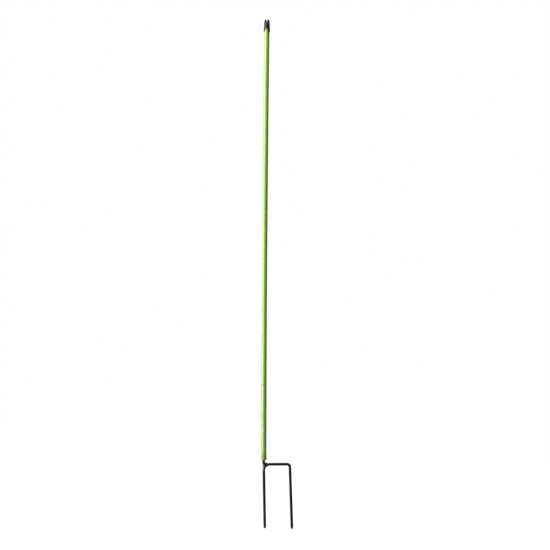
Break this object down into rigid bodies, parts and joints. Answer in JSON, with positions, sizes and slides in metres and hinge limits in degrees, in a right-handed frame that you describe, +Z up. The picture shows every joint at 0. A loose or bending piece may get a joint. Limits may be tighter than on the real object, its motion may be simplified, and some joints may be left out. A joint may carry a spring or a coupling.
{
  "type": "electric netting stake post",
  "caption": "Plastic netting post on a two-pronged steel foot with a tread bar, and a forked head clip that turns to take the net's top line.",
  "frame": {"origin": "on the post's axis at the ground line, level with the underside of the tread bar", "axes": "+Z up the post's axis, +X from the main prong towards the second prong, +Y away from the viewer, square to the fork's plane"},
  "size_m": [0.0833, 0.0156, 1.2781],
  "materials": {
    "lime_plastic": "satin extruded lime green with faint lines along the post",
    "lime_moulding": "satin moulded lime green",
    "black_steel": "semi-gloss black coating, scuffed at the tips",
    "weld_metal": "rippled weld under a thin black coating",
    "black_plastic": "fine-grained moulded black"
  },
  "bodies": {
    "post": {"post_tube": "lime_plastic", "foot_bush": "lime_moulding", "tang": "black_steel", "ground_fork": "black_steel", "weld_beads": "weld_metal"},
    "clip": {"head_clip": "black_plastic"}
  },
  "joints": [
    {"name": "clip_turn", "type": "hinge", "parent": "post", "child": "clip", "pos_m": [0, 0, 1.1045], "axis": [0, 0, 1], "continuous": true}
  ]
}
